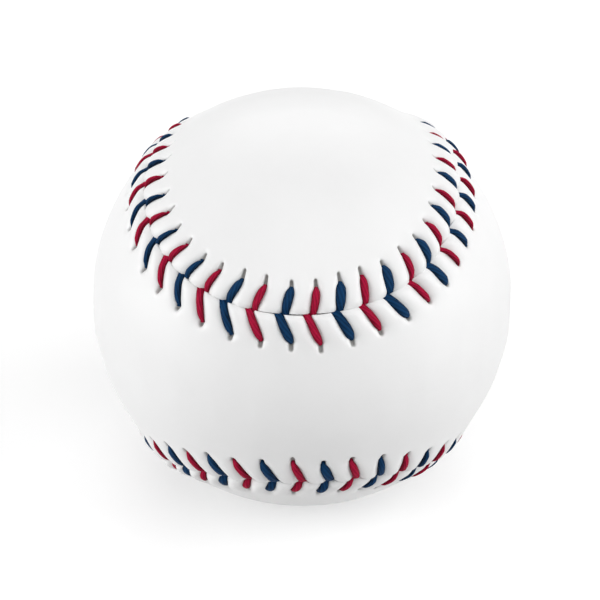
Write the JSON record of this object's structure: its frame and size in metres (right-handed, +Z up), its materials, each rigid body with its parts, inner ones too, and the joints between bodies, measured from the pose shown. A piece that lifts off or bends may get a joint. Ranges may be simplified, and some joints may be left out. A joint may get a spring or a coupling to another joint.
{
  "type": "baseball",
  "caption": "Sewn leather baseball: cushioned cork core, wool yarn windings and two interlocking leather panels laced together with alternating red and dark blue threads.",
  "frame": {"origin": "centre of the ball", "axes": "+Z up through a lobe of the back panel, -Y through the waist of the front panel, +X through the front panel's right lobe"},
  "size_m": [0.074, 0.074, 0.074],
  "materials": {
    "cork": "moulded cork and rubber grains, matt",
    "black_rubber": "moulded, matt",
    "red_rubber": "moulded, matt",
    "grey_wool": "wound wool yarn",
    "white_wool": "wound wool yarn",
    "white_thread": "fine wound thread",
    "leather": "smooth white grain leather, satin",
    "red_thread": "waxed twisted thread",
    "blue_thread": "waxed twisted thread"
  },
  "bodies": {
    "root": {"cork_core": "cork", "core_cup_lower": "black_rubber", "core_cup_upper": "black_rubber", "core_gasket": "red_rubber", "core_jacket_lower": "red_rubber", "core_jacket_upper": "red_rubber", "first_winding": "grey_wool", "second_winding": "white_wool", "third_winding": "grey_wool", "finishing_winding": "white_thread", "cover_panel_front": "leather", "cover_panel_back": "leather", "thread_red": "red_thread", "thread_blue": "blue_thread"}
  },
  "joints": []
}
